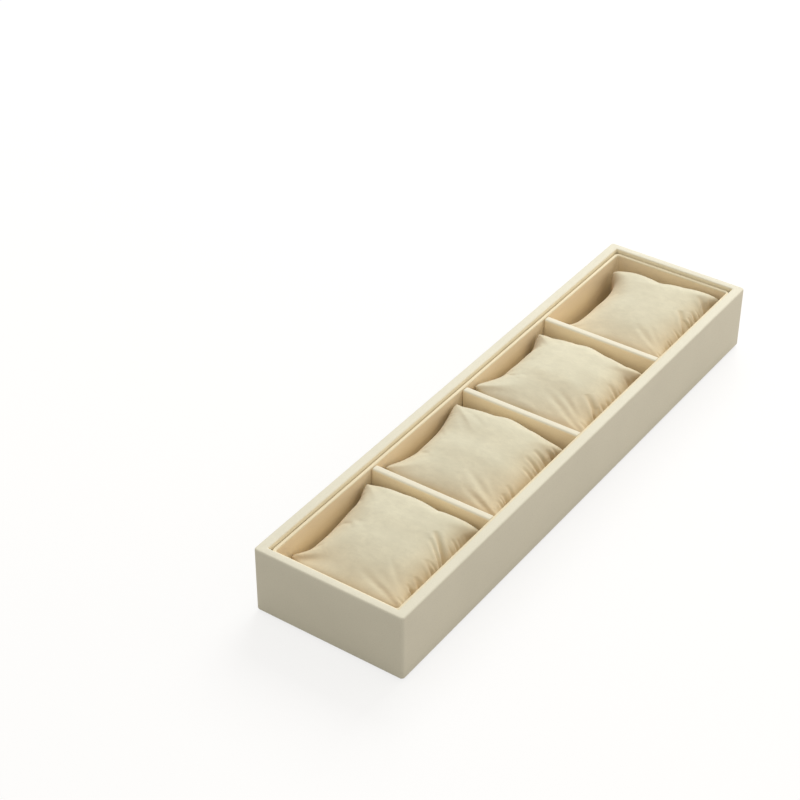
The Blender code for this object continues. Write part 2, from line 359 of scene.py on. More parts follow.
def new_group(name, kind, inputs, outputs):
    """Starts a node group, and gives its tree, a reader of its inputs and a writer of its outputs.

    inputs map each name to a socket type or to the default of a number, and outputs map each name
    to a socket type.
    """
    tree = bpy.data.node_groups.new(name, kind)
    for label, default in inputs.items():
        if isinstance(default, str):
            tree.interface.new_socket(label, in_out="INPUT", socket_type=default)
        else:
            socket_type = "NodeSocketInt" if isinstance(default, int) else "NodeSocketFloat"
            made = tree.interface.new_socket(label, in_out="INPUT", socket_type=socket_type)
            made.default_value = default
    for label, socket_type in outputs.items():
        tree.interface.new_socket(label, in_out="OUTPUT", socket_type=socket_type)
    start = tree.nodes.new("NodeGroupInput")
    end = tree.nodes.new("NodeGroupOutput")

    def given(label):
        return Number(tree, start.outputs[label])

    def put_out(**values):
        feed(tree, end, {label.replace("_", " "): value for label, value in values.items()})

    return tree, given, put_out


# Shader groups that several finishes share


def shader_group(name, inputs, *outputs):
    """Starts a shader group whose outputs are masks and heights, and gives its place on the object too."""
    parts = new_group(name, "ShaderNodeTree", inputs, {label: "NodeSocketFloat" for label in outputs})
    return *parts, add_node(parts[0], "ShaderNodeTexCoord").outputs["Object"]


def soft_patches_group():
    """Wide, soft patches that a finish varies over."""
    inputs = {"Patches per metre": 30.0, "Contrast": 1.0}
    tree, given, put_out, place = shader_group("Soft patches", inputs, "Mask")
    wide = noise_over(tree, place, given("Patches per metre"), 3.0)
    put_out(Mask=((wide - 0.5) * given("Contrast")).math("ADD", 0.5, clamp=True))
    return tree


def inside_group():
    """Where a face lies inside the tray's walls and below a height, where the finishes paint warm bounce
    light, fill light and shade.
    """
    inputs = {"Half length": 1.0, "Half width": 1.0, "Height": 0.04, "Fade": 1.0 * MM}
    tree, given, put_out, place = shader_group("Inside the walls", inputs, "Mask")
    x, y, z = split(tree, place)
    past_end = x.math("ABSOLUTE") - given("Half length")
    past_side = y.math("ABSOLUTE") - given("Half width")
    fade = given("Fade")
    past = (past_end.math("MAXIMUM", past_side) / fade).math("ADD", 0.0, clamp=True)
    below = ((given("Height") - z) / fade).math("ADD", 0.0, clamp=True)
    put_out(Mask=(past * -1.0 + 1.0) * below)
    return tree


def pebble_group():
    """Pebbled grain of embossed leatherette: round cells with fine creases between them."""
    inputs = {"Pebbles per metre": 1800.0, "Unevenness": 0.35}
    tree, given, put_out, place = shader_group("Pebble grain", inputs, "Height", "Crease")
    count = given("Pebbles per metre")
    cells = add_node(
        tree,
        "ShaderNodeTexVoronoi",
        {"Vector": place, "Scale": count, "Smoothness": 0.6, "Randomness": 1.0},
        feature="SMOOTH_F1",
    )
    fine = noise_over(tree, place, count * 0.45, 4.0)
    crease = Number(tree, cells.outputs["Distance"]).math("POWER", 2.0, clamp=True)
    put_out(Height=crease * -1.0 + (fine - 0.5) * given("Unevenness"), Crease=crease)
    return tree


def nap_group():
    """Brushed nap: fine fibres, in tufts that lie one way and another."""
    inputs = {"Fibres per metre": 2600.0, "Tufts per metre": 160.0, "Lie": 0.25}
    tree, given, put_out, place = shader_group("Brushed nap", inputs, "Height", "Shade")
    lying = add_node(tree, "ShaderNodeCombineXYZ", {"X": 1.0, "Y": given("Lie"), "Z": 1.0}).outputs[0]
    along = add_node(tree, "ShaderNodeVectorMath", {0: place, 1: lying}, operation="MULTIPLY").outputs[0]
    fibre = noise_over(tree, along, given("Fibres per metre"), 2.0, Roughness=0.6)
    tuft = noise_over(tree, along, given("Tufts per metre"), 5.0, Roughness=0.62, Distortion=0.4)
    lain = tuft * 0.75 + fibre * 0.25
    shade = add_node(tree, "ShaderNodeMapRange", {"Value": lain, "From Min": 0.36, "From Max": 0.64})
    put_out(Height=fibre * 0.45 + tuft * 0.8, Shade=shade.outputs[0])
    return tree


SHADER_GROUPS = {
    "Soft patches": soft_patches_group,
    "Inside the walls": inside_group,
    "Pebble grain": pebble_group,
    "Brushed nap": nap_group,
}


def shared_group(name, make):
    """A node group by its name, made the first time that it is asked for."""
    found = bpy.data.node_groups.get(name)
    return found if found else make()


def use_group(tree, name, inputs):
    return add_node(tree, "ShaderNodeGroup", inputs, node_tree=shared_group(name, SHADER_GROUPS[name]))


def new_material(name, roughness, specular):
    material = bpy.data.materials.new(name)
    material.use_nodes = True
    tree = material.node_tree
    shader = tree.nodes["Principled BSDF"]
    feed(tree, shader, {"Roughness": roughness, "Specular IOR Level": specular})
    return material, tree, shader


def tone(colour, factor):
    """The same colour, lighter or darker."""
    return (*(min(1.0, channel * factor) for channel in colour), 1.0)


def blend_colours(tree, factor, first, second, way="MIX"):
    """A colour between two, by a mask. Either colour may be another node's output."""
    inputs = {0: factor, 6: first, 7: second}
    return add_node(tree, "ShaderNodeMix", inputs, data_type="RGBA", blend_type=way).outputs[2]


def bump(tree, shader, height, depth, strength):
    node = add_node(tree, "ShaderNodeBump", {"Strength": strength, "Distance": depth, "Height": height})
    feed(tree, shader, {"Normal": node.outputs[0]})


def leatherette(name, grain_width, colour, painted_bounce_colour, inside, painted_fill_colour=None, fill_sizes=None):
    """Matte embossed leatherette: pebbles, slightly darker creases and soft changes of tone.

    It takes its second colour, painted warm bounce light and shade, inside the walls as the group says,
    with the sizes in inside, and its third colour, painted fill light, in the same way, with its own sizes.
    """
    # Tones against the colour: in its dark and light patches, and darker in the grain's creases
    dark, light, crease_tone = 0.965, 1.03, 0.86
    smoothest = 0.54
    material, tree, shader = new_material(name, smoothest, specular=0.14)
    patches = use_group(tree, "Soft patches", {"Patches per metre": 26.0, "Contrast": 1.6}).outputs["Mask"]
    pebbles = {"Pebbles per metre": 1.0 / grain_width, "Unevenness": 0.35}
    grain = use_group(tree, "Pebble grain", pebbles)
    # Masks of the painted light: warm bounce light and shade inside the walls, and fill light low down
    low = use_group(tree, "Inside the walls", inside).outputs["Mask"]
    deep = use_group(tree, "Inside the walls", fill_sizes or inside).outputs["Mask"]

    def toned(factor):
        upper = blend_colours(tree, low, tone(colour, factor), tone(painted_bounce_colour, factor))
        return blend_colours(tree, deep, upper, tone(painted_fill_colour or painted_bounce_colour, factor))

    wide = blend_colours(tree, patches, toned(dark), toned(light))
    crease = Number(tree, grain.outputs["Crease"])
    rough = crease * 0.22 + Number(tree, patches) * 0.06 + smoothest
    tone_of_all = blend_colours(tree, crease * 0.5, wide, toned(crease_tone))
    feed(tree, shader, {"Base Color": tone_of_all, "Roughness": rough})
    bump(tree, shader, grain.outputs["Height"], depth=0.05 * MM, strength=0.55)
    return material


def suede(name, colour, painted_bounce_colour, inside, fibres, tufts, depth):
    """Brushed microfibre suede: nap that catches light where it lies over, with painted shade in its
    creases and on slopes that lean left.

    It takes its second colour, painted warm shade and bounce light, where the group of the inside of the
    walls says so, with the sizes in inside.
    """
    dark, light, lain = 0.95, 1.045, 0.88
    smoothest = 0.86
    # Tints of the painted shade in the creases and on slopes that lean left
    crease_shade_tint, left_shade_tint = (0.9, 0.78, 0.66), (0.79, 0.735, 0.69, 1.0)
    material, tree, shader = new_material(name, smoothest, specular=0.18)
    feed(tree, shader, {"Sheen Weight": 0.22, "Sheen Roughness": 0.55})
    patches = use_group(tree, "Soft patches", {"Patches per metre": 55.0, "Contrast": 2.6}).outputs["Mask"]
    brushing = {"Fibres per metre": fibres, "Tufts per metre": tufts, "Lie": 0.55}
    nap = use_group(tree, "Brushed nap", brushing)
    shade = Number(tree, nap.outputs["Shade"])
    wide = blend_colours(tree, patches, tone(colour, dark), tone(colour, light))
    top = blend_colours(tree, shade * 0.75, wide, tone(colour, lain))
    # The second colour paints warm shade and bounce light low down, towards the seams
    low = blend_colours(tree, shade * 0.75, tone(painted_bounce_colour, 1.0), tone(painted_bounce_colour, lain))
    mottled = blend_colours(tree, use_group(tree, "Inside the walls", inside).outputs["Mask"], top, low)

    def share(attribute):
        return Number(tree, add_node(tree, "ShaderNodeAttribute", attribute_name=attribute).outputs["Fac"])

    # Painted shade in the creases, darkest where a crease is deepest
    deepest = (*(channel * tint for channel, tint in zip(colour, crease_shade_tint)), 1.0)
    creased = blend_colours(tree, share(CREASE) * 0.5, mottled, deepest)
    # Painted shade on slopes that lean left, away from the key lamp
    left_shaded = blend_colours(tree, share(LEFT_SHADE), WHITE, left_shade_tint)
    toned = blend_colours(tree, 1.0, creased, left_shaded, "MULTIPLY")
    feed(tree, shader, {"Base Color": toned, "Roughness": shade * 0.1 + smoothest})
    bump(tree, shader, nap.outputs["Height"], depth, strength=0.6)
    return material


def pressed_board(name, colour, chips):
    """Fibreboard or grey card: pressed fibres with darker flecks."""
    dark, light, fleck = 0.93, 1.06, 0.72
    material, tree, shader = new_material(name, roughness=0.85, specular=0.2)
    patches = use_group(tree, "Soft patches", {"Patches per metre": 60.0, "Contrast": 1.5}).outputs["Mask"]
    pressing = {"Fibres per metre": chips * 4, "Tufts per metre": chips, "Lie": 0.2}
    nap = use_group(tree, "Brushed nap", pressing)
    wide = blend_colours(tree, patches, tone(colour, dark), tone(colour, light))
    flecks = Number(tree, nap.outputs["Shade"]) * 0.6
    feed(tree, shader, {"Base Color": blend_colours(tree, flecks, wide, tone(colour, fleck))})
    bump(tree, shader, nap.outputs["Height"], depth=0.06 * MM, strength=0.6)
    return material


def floor_material():
    """A pale floor that looks white to the camera, but still takes the tray's shadow."""
    material, tree, shader = new_material("pale floor", roughness=0.9, specular=0.0)
    seen = Number(tree, add_node(tree, "ShaderNodeLightPath").outputs["Is Camera Ray"])
    feed(tree, shader, {"Base Color": blend_colours(tree, seen, FLOOR_BOUNCE, WHITE)})
    ground = add_node(tree, "ShaderNodeEmission", {"Color": WHITE, "Strength": 1.0})
    surfaces = {0: seen * FLOOR_GLOW, 1: shader.outputs[0], 2: ground.outputs[0]}
    mix = add_node(tree, "ShaderNodeMixShader", surfaces)
    feed(tree, tree.nodes["Material Output"], {"Surface": mix.outputs[0]})
    return material


# Sheets folded over walls


def straight(start, end, steps):
    """Points on a line after its start and before its end."""
    return [start.lerp(end, step / steps) for step in range(1, steps)]


def fold_line(foot, top, inner_foot, edge_radius, foot_radius, turn_in):
    """The line that a sheet takes over a wall, from below the outside to the foot of the inside.

    Each point is its distance in from the face that it lies on, the share of the wall's
    thickness that the sheet has crossed there, and its height.
    """
    outer_foot, outer_edge = [], []
    for step in range(7):
        turn = math.radians(90 * step / 6)
        rise, fall = 1 - math.cos(turn), 1 - math.sin(turn)
        outer_foot.append(Vector((foot_radius * fall, 0, foot + foot_radius * rise)))
        outer_edge.append(Vector((edge_radius * rise, 0, top - edge_radius * fall)))
    inner_edge = [Vector((-point.x, 1, point.z)) for point in reversed(outer_edge)]
    points = [Vector((turn_in, 0, foot)), *outer_foot] if turn_in > 0 else [Vector((0, 0, foot))]
    points += straight(points[-1], outer_edge[0], 6)
    points += outer_edge + inner_edge
    points += straight(points[-1], Vector((0, 1, inner_foot)), 4)
    points += [Vector((0, 1, inner_foot))]
    return points


def folded_sheet_tree():
    """Carries a fold line round a frame's four walls, over round upright corners, and closes the ring.

    The fold line is a mesh of points in a row, whose X, Y and Z are the three numbers of
    fold_line. Each ring point has a corner and a share of the way round that corner, or of the
    way along the straight wall after it.
    """
    lengths = ("Half length", "Half width", "End wall", "Long wall", "Outer radius", "Inner radius")
    tree, given, put_out = new_group(
        "Folded sheet",
        "GeometryNodeTree",
        {
            "Fold line": "NodeSocketGeometry",
            **{name: 0.01 for name in (*lengths, "Sharpest radius")},
            "Corner steps": 8,
            "Wall steps": 24,
            "Slack": 0.0,
            "Slack scale": 20.0,
            "Sheet": "NodeSocketMaterial",
        },
        {"Folded sheet": "NodeSocketGeometry"},
    )

    def own_place():
        return add_node(tree, "GeometryNodeInputPosition").outputs[0]

    line = given("Fold line")
    count = add_node(tree, "GeometryNodeAttributeDomainSize", {0: line}, component="MESH")
    folds = Number(tree, count.outputs["Point Count"])
    corner_steps, wall_steps = given("Corner steps"), given("Wall steps")
    section = corner_steps + wall_steps
    around = section * 4.0
    counts = {"Size X": around, "Size Y": folds - 1.0, "Vertices X": around + 1.0, "Vertices Y": folds}
    grid = add_node(tree, "GeometryNodeMeshGrid", counts)
    grid_x, grid_y, _ = split(tree, own_place())
    step = (grid_x + around / 2.0).math("ROUND")
    fold = (grid_y + (folds - 1.0) / 2.0).math("ROUND")

    sample = add_node(tree, "GeometryNodeSampleIndex", data_type="FLOAT_VECTOR", domain="POINT")
    feed(tree, sample, {0: line, "Value": own_place(), "Index": fold})
    inset, across, height = split(tree, sample.outputs[0])

    corner = (step / section).math("FLOOR")
    past = step - corner * section
    turn = (past / corner_steps).math("MINIMUM", 1.0)
    along = ((past - corner_steps) / wall_steps).math("MAXIMUM", 0.0)
    radius = given("Outer radius") + across * (given("Inner radius") - given("Outer radius")) - inset
    radius = radius.math("MAXIMUM", given("Sharpest radius"))
    reach_x = given("Half length") - across * given("End wall") - inset - radius
    reach_y = given("Half width") - across * given("Long wall") - inset - radius

    def ring_point(quarter, share):
        """A point on the arc of a corner, counted in quarters of a turn."""
        base = quarter * (math.pi / 2)
        middle = base + math.pi / 4
        angle = base + share * (math.pi / 2)
        x = middle.math("COSINE").math("SIGN") * reach_x + angle.math("COSINE") * radius
        y = middle.math("SINE").math("SIGN") * reach_y + angle.math("SINE") * radius
        return add_node(tree, "ShaderNodeCombineXYZ", {"X": x, "Y": y, "Z": height}).outputs[0]

    ends = {0: along, 4: ring_point(corner, turn), 5: ring_point(corner + 1.0, turn * 0.0)}
    place = add_node(tree, "ShaderNodeMix", ends, data_type="VECTOR").outputs[1]

    def then(kind, geometry, **inputs):
        """The geometry after one more node."""
        named = {label.replace("_", " "): value for label, value in inputs.items()}
        return add_node(tree, kind, {"Geometry": geometry, **named}).outputs[0]

    shaped = then("GeometryNodeSetPosition", grid.outputs["Mesh"], Position=place)
    closed = then("GeometryNodeMergeByDistance", shaped, Distance=0.01 * MM)
    pull = (noise_over(tree, own_place(), given("Slack scale"), 1.0) - 0.5) * given("Slack")
    normal = add_node(tree, "GeometryNodeInputNormal").outputs[0]
    push = add_node(tree, "ShaderNodeVectorMath", {0: normal, "Scale": pull}, operation="SCALE")
    slack = then("GeometryNodeSetPosition", closed, Offset=push.outputs[0])
    real = then("GeometryNodeRealizeInstances", then("GeometryNodeSetShadeSmooth", slack))
    put_out(Folded_sheet=then("GeometryNodeSetMaterial", real, Material=given("Sheet")))
    return tree


def link(obj):
    bpy.context.scene.collection.objects.link(obj)
    return obj


def plain_mesh(obj):
    """The mesh that an object's modifiers make, on its own."""
    bpy.context.view_layer.update()
    graph = bpy.context.evaluated_depsgraph_get()
    return bpy.data.meshes.new_from_object(obj.evaluated_get(graph), depsgraph=graph)


def grow(name, start_mesh, tree, inputs):
    """Runs a geometry tree on a mesh and gives the result as an object with a plain mesh."""
    seed = link(bpy.data.objects.new(name + "_seed", start_mesh))
    modifier = seed.modifiers.new("grow", "NODES")
    modifier.node_group = tree
    for item in tree.interface.items_tree:
        if item.item_type == "SOCKET" and item.in_out == "INPUT" and item.name in inputs:
            modifier[item.identifier] = inputs[item.name]
    mesh = plain_mesh(seed)
    bpy.data.objects.remove(seed)
    mesh.name = name
    return link(bpy.data.objects.new(name, mesh))


def box_of(size):
    """A box round the origin, as a mesh to work on."""
    work = bmesh.new()
    bmesh.ops.create_cube(work, size=1.0)
    bmesh.ops.scale(work, verts=work.verts, vec=size)
    return work


def put_down(name, work, place):
    """Moves a worked mesh to its place and makes it an object."""
    bmesh.ops.translate(work, verts=work.verts, vec=place)
    mesh = bpy.data.meshes.new(name)
    work.to_mesh(mesh)
    work.free()
    return link(bpy.data.objects.new(name, mesh))


def face_outwards(mesh):
    """Turns every face of a closed shell outwards."""
    work = bmesh.new()
    work.from_mesh(mesh)
    bmesh.ops.recalc_face_normals(work, faces=work.faces)
    work.to_mesh(mesh)
    work.free()


def thicken(obj, thickness):
    """Gives an open sheet its thickness, on the side away from its faces, and makes it a plain mesh."""
    shell = obj.modifiers.new("thickness", "SOLIDIFY")
    shell.thickness = thickness
    shell.offset = -1.0
    shell.use_even_offset = True
    shell.use_quality_normals = True
    mesh = plain_mesh(obj)
    obj.modifiers.clear()
    old = obj.data
    obj.data = mesh
    bpy.data.meshes.remove(old)
    mesh.name = obj.name
    face_outwards(mesh)
    mesh.shade_smooth()
    mesh.set_sharp_from_angle(angle=math.radians(50))


def belongs(obj, slot, *nodes):
    """Ties a finished piece to the tray's body and hides the solids that it stands for. Its record slot is
    not used.
    """
    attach(obj, BODY)
    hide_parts(*nodes)


def add_folded_sheet(name, profile, half, wall, radii, material, slack):
    """A sheet folded over the four walls of a frame."""
    line = bpy.data.meshes.new(name + "_line")
    line.from_pydata([tuple(point) for point in profile], [(i, i + 1) for i in range(len(profile) - 1)], [])
    return grow(
        name,
        line,
        shared_group("Folded sheet", folded_sheet_tree),
        {
            "Half length": half.x,
            "Half width": half.y,
            "End wall": wall.x,
            "Long wall": wall.y,
            "Outer radius": radii[0],
            "Inner radius": radii[1],
            "Sharpest radius": GAP,
            "Corner steps": 8,
            "Wall steps": 30,
            "Slack": slack,
            "Slack scale": 28.0,
            "Sheet": material,
        },
    )


def wrap_leatherette(wrap):
    """Cream outside and on the rim, slightly warmer down the inside of the walls, where warm bounce light
    is painted.
    """
    inside = {
        "Half length": WRAP_HIGH.x - END_WALL,
        "Half width": WRAP_HIGH.y - LONG_WALL,
        "Height": WRAP_HIGH.z,
        "Fade": 0.8 * MM,
    }
    return leatherette("wrap leatherette", wrap.grain, wrap.colour, wrap.edge_and_bounce_colour, inside)


def liner_leatherette(wrap):
    """Pale on its top edge, warm below it with painted bounce light and shade, and lighter again low down
    with painted fill light, where the pillows shade it.
    """
    inside = {"Height": LINER_HIGH.z - 0.5 * MM, "Fade": 0.9 * MM}
    deep = {"Height": LINER_HIGH.z - 5 * MM, "Fade": 10 * MM}
    colours = wrap.edge_and_bounce_colour, wrap.liner_bounce_shade_colour
    return leatherette("liner leatherette", wrap.grain, *colours, inside, wrap.painted_fill_colour, deep)


def divider_leatherette(wrap):
    """Cream on the round top, warm below it with painted bounce light."""
    inside = {"Height": DIVIDER_HIGH.z - 0.3 * MM, "Fade": 1.2 * MM}
    colours = wrap.divider_top_colour, wrap.divider_bounce_colour
    return leatherette("divider leatherette", wrap.grain, *colours, inside)


# Pillows


def between(first, second, share):
    return first * (1 - share) + second * share


def side_line(steps, share):
    """How far a side lies off the straight line between its ears: a smooth curve through its steps.

    share is -1 at one ear and 1 at the other.
    """
    knots = (0.0, 0.0, *steps, 0.0, 0.0)
    place = (share + 1) / 2 * (len(steps) + 1)
    first = min(int(place), len(steps))
    rest = place - first
    a, b, c, d = knots[first : first + 4]
    slope = c - a
    bend = 2 * a - 5 * b + 4 * c - d
    twist = 3 * b - a - 3 * c + d
    return b + (slope * rest + bend * rest**2 + twist * rest**3) / 2


def pillow_seam(ears, sides, u, v):
    """Where the pillow's middle surface lies at (u, v), each -1 to 1: a patch hung from its four sides."""
    front_left, front_right, back_left, back_right = (Vector(ear) for ear in ears)
    front_side, back_side, left_side, right_side = sides
    across, along = (u + 1) / 2, (v + 1) / 2

    def off_line(side, share, x, y):
        """How far a side lies off its straight line, which x and y turn in or out."""
        out, down = (side_line(steps, share) for steps in side)
        return Vector((x * out, y * out, -down))

    front, back = between(front_left, front_right, across), between(back_left, back_right, across)
    left, right = between(front_left, back_left, along), between(front_right, back_right, along)
    front_point, back_point = front + off_line(front_side, u, 0, 1), back + off_line(back_side, u, 0, -1)
    left_point, right_point = left + off_line(left_side, v, -1, 0), right + off_line(right_side, v, 1, 0)
    corners = between(front, back, along)
    return between(front_point, back_point, along) + between(left_point, right_point, across) - corners


def pouch(number, settings):
    """Two panels of cloth, sewn together all round: (points in millimetres, faces, ears to hold).

    Across the pillow u runs from -1 to 1, and from front to back v does. The key of a point has 0
    for the side on a seam, 1 on the crown and -1 on the underside.
    """
    ears, sides = PILLOW_EARS[number], PILLOW_SIDES[number]
    columns, rows = settings.columns, settings.rows
    crown = settings.height / MM - pillow_seam(ears, sides, 0.0, 0.0).z
    index, points, faces = {}, [], []

    def spot(column, row, side):
        on_seam = column in (0, columns) or row in (0, rows)
        return (column, row, 0 if on_seam else side)

    for side in (1, -1):
        for row in range(rows + 1):
            for column in range(columns + 1):
                key = spot(column, row, side)
                if key in index:
                    continue
                u, v = 2 * column / columns - 1, 2 * row / rows - 1
                seam = pillow_seam(ears, sides, u, v)
                squareness = SIDE_SQUARENESS if u > 0 or side < 0 else LEFT_SQUARENESS[number]
                fall = BACK_FALL[number] if v > 0 and side > 0 else FALL
                full = math.sqrt(1 - abs(u) ** squareness) * (1 - abs(v) ** LONG_SQUARENESS) ** fall
                lump = STUFFING_LUMPS * noise.noise(Vector((u * 2.5 + 9 * number, v * 2.5, side)))
                depth = crown + lump if side > 0 else seam.z + STUFFED_DOWN
                point = seam + Vector((0, 0, key[2] * depth * full))
                if key[2] < 0:
                    squeezed = STUFFED_OUT * math.sqrt(1 - abs(v) ** 6) * (1 - abs(u) ** 4)
                    point.y += math.copysign(squeezed, v)
                index[key] = len(points)
                points.append(point)
    for side in (1, -1):
        for row in range(rows):
            for column in range(columns):
                corners = ((column, row), (column + 1, row), (column + 1, row + 1), (column, row + 1))
                quad = [index[spot(*corner, side)] for corner in corners]
                faces.append(quad if side > 0 else quad[::-1])
    pinned = [index[spot(column, row, 1)] for column in (0, columns) for row in (0, rows)]
    return points, faces, pinned


def slab(low, high):
    """A solid wall that the cloth can't pass."""
    low, high = Vector(low), Vector(high)
    wall = put_down("slab", box_of(high - low), (low + high) / 2)
    wall.modifiers.new("collision", "COLLISION")
    wall.collision.thickness_outer = 0.004
    wall.collision.cloth_friction = 2.0
    return wall


def settle(mesh, pinned, room, settings):
    """Swells the pouch with stuffing between its walls, and gives its points.

    It works ten times over size, where Blender's cloth is steadier.
    """
    large = 10.0
    mesh.transform(Matrix.Scale(large, 4))
    pillow = link(bpy.data.objects.new("pouch", mesh))
    held = pillow.vertex_groups.new(name="ears")
    held.add(pinned, 1.0, "REPLACE")
    reach_x, reach_y = room.x * large, room.y * large
    top, thick = 0.37, 0.5
    out_x, out_y = reach_x + thick, reach_y + thick
    walls = [
        slab((-out_x, -out_y, -thick), (out_x, out_y, 0)),
        slab((-out_x, -out_y, -thick), (-reach_x, out_y, top)),
        slab((reach_x, -out_y, -thick), (out_x, out_y, top)),
        slab((-reach_x, -out_y, -thick), (reach_x, -reach_y, top)),
        slab((-reach_x, reach_y, -thick), (reach_x, out_y, top)),
    ]
    cloth = pillow.modifiers.new("cloth", "CLOTH")
    sewn = {
        "vertex_group_mass": "ears",
        "quality": 7,
        "mass": 0.3,
        "tension_stiffness": 25,
        "compression_stiffness": 25,
        "shear_stiffness": 5,
        "bending_stiffness": 0.1,
        "air_damping": 3,
        "use_pressure": True,
        "uniform_pressure_force": settings.pressure,
    }
    for name, value in sewn.items():
        setattr(cloth.settings, name, value)
    cloth.settings.effector_weights.gravity = 0.0
    cloth.collision_settings.distance_min = 0.002
    cloth.point_cache.frame_start = 1
    cloth.point_cache.frame_end = settings.frames
    scene = bpy.context.scene
    for number in range(1, settings.frames + 1):
        scene.frame_set(number)
    settled = plain_mesh(pillow)
    scene.frame_set(1)
    for wall in walls:
        bpy.data.objects.remove(wall)
    points = read_vectors(settled.vertices, "co") / large
    bpy.data.meshes.remove(settled)
    bpy.data.objects.remove(pillow)
    mesh.transform(Matrix.Scale(1 / large, 4))
    return points


def read_vectors(items, name):
    """The vectors that a mesh's items hold under a name, one in each row."""
    flat = np.empty(len(items) * 3, dtype=np.float32)
    items.foreach_get(name, flat)
    return flat.reshape(-1, 3).astype(np.float64)


def write_points(mesh, points):
    mesh.vertices.foreach_set("co", points.astype(np.float32).ravel())
    mesh.update()


def write_shares(mesh, name, values):
    """Stores a share from 0 to 1 for each point, which the suede reads."""
    stored = mesh.attributes.new(name, "FLOAT", "POINT")
    stored.data.foreach_set("value", np.clip(values, 0, 1).astype(np.float32))


def subdivided(mesh, times):
    """The mesh after it is subdivided, to a smooth surface."""
    holder = link(bpy.data.objects.new("holder", mesh))
    finer = holder.modifiers.new("finer", "SUBSURF")
    finer.levels = times
    finer.render_levels = times
    result = plain_mesh(holder)
    bpy.data.objects.remove(holder)
    return result


def crease_depths(points, line, width, depth):
    """How far each point sinks for a crease: a valley with a low ridge on each side.

    It widens towards its tip, and is deepest a short way in from the seam.
    """
    widening, at_seam, deepening = 0.9, 0.4, 2.5
    corners = [np.array(corner, dtype=float) * MM for corner in line]
    spans = [np.linalg.norm(b - a) for a, b in zip(corners, corners[1:])]
    whole = sum(spans)
    nearest = np.full(len(points), 1.0)
    share = np.zeros(len(points))
    run = 0.0
    for a, b, span in zip(corners, corners[1:], spans):
        along = (points - a) @ (b - a) / span**2
        held = np.clip(along, 0, 1)
        gap = np.linalg.norm(points - a - held[:, None] * (b - a), axis=1)
        closer = gap < nearest
        nearest = np.where(closer, gap, nearest)
        share = np.where(closer, (run + held * span) / whole, share)
        run += span
    reach = nearest / (width * MM * (1 + widening * share))
    strength = depth * MM * np.clip(1 - share, 0, 1) ** 0.5 * np.minimum(1, at_seam + deepening * share)
    return strength * (1 - reach**2) * np.exp(-(reach**2) / 2)


def small_gathers(number, side):
    """Small creases along a seam, at uneven steps. side is -1 at the front and 1 at the back."""
    count, first, run = 14, -34, 68
    at_seam, inwards, tip = 41, 38, 39
    lines = []
    for step in range(count):
        wander = noise.noise(Vector((step * 1.7, number * 3.1, side * 5.3)))
        lean = noise.noise(Vector((step * 2.3, number * 1.9, side * 7.7)))
        x = first + run * (step + 0.5 + wander) / count
        long = 7 + 5 * lean
        line = ((x, side * at_seam), (x + lean, side * inwards), (x + 4 * lean, side * (tip - long)))
        lines.append((line, 0.6 + 0.3 * wander, max(0.0, 0.4 + 0.7 * lean)))
    return lines


def pressed_in(points, room):
    """Points pressed flat against the floor and the four walls of a room round the origin."""
    points[:, 0] = np.clip(points[:, 0], -room.x, room.x)
    points[:, 1] = np.clip(points[:, 1], -room.y, room.y)
    points[:, 2] = np.maximum(points[:, 2], 0.0)
    return points


def swollen(mesh, pinned, room, settings):
    """Presses the pouch into its room, swells it there, and leaves the mesh with its settled points."""
    start = pressed_in(read_vectors(mesh.vertices, "co"), room)
    write_points(mesh, start)
    moved = settle(mesh, pinned, room, settings) - start
    far = np.linalg.norm(moved, axis=1)
    keep = np.minimum(1.0, settings.most_swell / np.maximum(far, 1e-9))
    write_points(mesh, pressed_in(start + moved * keep[:, None], room))


def creased(mesh, number):
    """The points of a pillow's cloth after its creases and lumps, whose depth and lean it stores."""
    points, normals = read_vectors(mesh.vertices, "co"), read_vectors(mesh.vertex_normals, "vector")
    at_back = 0.6
    sink = np.zeros(len(points))
    for line, width, depth in (*PILLOW_CREASES[number], *small_gathers(number, -1)):
        sink += crease_depths(points[:, :2], line, width, depth)
    for line, width, depth in small_gathers(number, 1):
        sink += crease_depths(points[:, :2], line, width, at_back * depth)
    # How far each point leans left, away from the key lamp, where the suede paints shade
    write_shares(mesh, LEFT_SHADE, -normals[:, 0] / FULL_LEAN[number])
    level_share, steepening = 0.6, 4
    upper = np.clip(normals[:, 2] * steepening + level_share, 0, 1)
    points -= normals * (sink * upper)[:, None]
    # How far down in a crease each point lies, where the suede paints shade
    write_shares(mesh, CREASE, sink * upper / FULL_CREASE)
    lumps = [noise.noise(Vector(point) * LUMPS_PER_METRE + Vector((number * 7, 0, 0))) for point in points]
    return points + normals * (np.array(lumps) * LUMP_HEIGHT)[:, None]


def add_pillow(number, material, settings):
    """One stuffed pillow: sewn, swollen between its walls, creased and pressed into its room."""
    name = PILLOWS[number]
    low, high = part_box(name)
    centre = (low.x + high.x) / 2
    room = Vector((high.x - centre, high.y))
    points, faces, pinned = pouch(number, settings)
    mesh = bpy.data.meshes.new(name + "_cloth")
    mesh.from_pydata([tuple(point * MM) for point in points], [], faces)
    swollen(mesh, pinned, room, settings)
    fine = subdivided(mesh, 2)
    write_points(fine, pressed_in(creased(fine, number), room) + np.array((centre, 0.0, low.z)))
    fine.materials.clear()
    fine.materials.append(material)
    face_outwards(fine)
    fine.shade_smooth()
    pillow = link(bpy.data.objects.new("soft_" + name, fine))
    fine.name = pillow.name
    belongs(pillow, "suede", name)
    return pillow


# Operators


